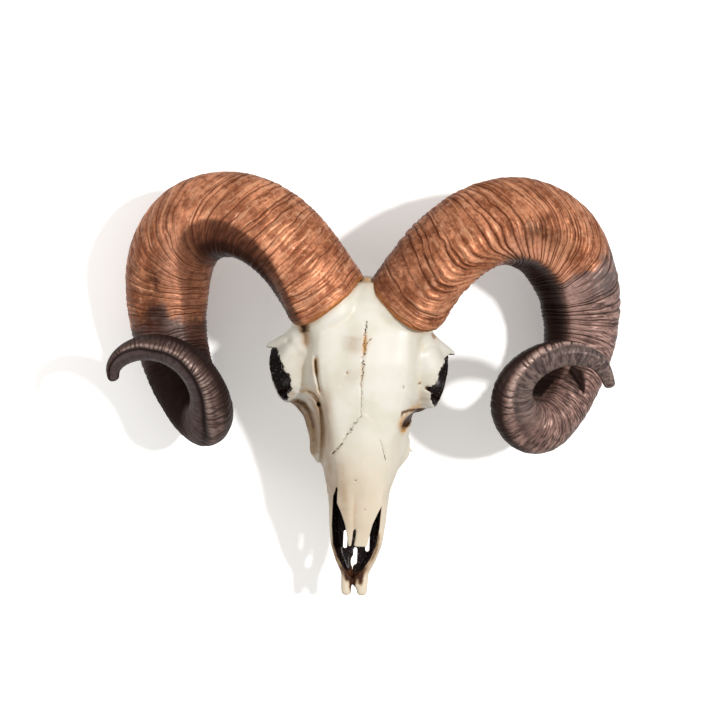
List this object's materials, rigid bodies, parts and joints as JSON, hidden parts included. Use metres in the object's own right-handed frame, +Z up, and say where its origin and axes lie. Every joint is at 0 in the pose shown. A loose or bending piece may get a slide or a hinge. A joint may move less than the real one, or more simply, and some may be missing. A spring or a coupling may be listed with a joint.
{
  "type": "replica ram skull",
  "caption": "Life-size painted cast-resin replica of a ram's upper skull with long curled horns, hung flat on a wall by a toothed steel strip in its back.",
  "frame": {"origin": "on the wall plane, in the flat back of the braincase where the replica hangs, just below the hanger's pocket", "axes": "+Y into the wall, so the face looks along -Y; +Z up; +X to the right as seen from the front"},
  "size_m": [0.3907, 0.1201, 0.3224],
  "materials": {
    "bone_paint": "cream-white satin paint with brown wash in the grooves, gloss black in the sockets and the nose",
    "horn_copper": "copper-brown satin paint with dark brown wash in the growth lines",
    "horn_brown": "copper fading to dark brown, satin",
    "horn_dark": "brown-black with greyish-pink dry brushing, satin",
    "hanger_steel": "plain zinc-plated steel"
  },
  "bodies": {
    "root": {"cranium": "bone_paint", "orbit_left": "bone_paint", "orbit_right": "bone_paint", "maxilla_left": "bone_paint", "maxilla_right": "bone_paint", "premaxilla_left": "bone_paint", "premaxilla_right": "bone_paint", "nasal_bones": "bone_paint", "horn_left_base": "horn_copper", "horn_left_bend": "horn_brown", "horn_left_curl": "horn_dark", "horn_right_base": "horn_copper", "horn_right_bend": "horn_brown", "horn_right_curl": "horn_dark", "hanger": "hanger_steel"}
  },
  "joints": []
}
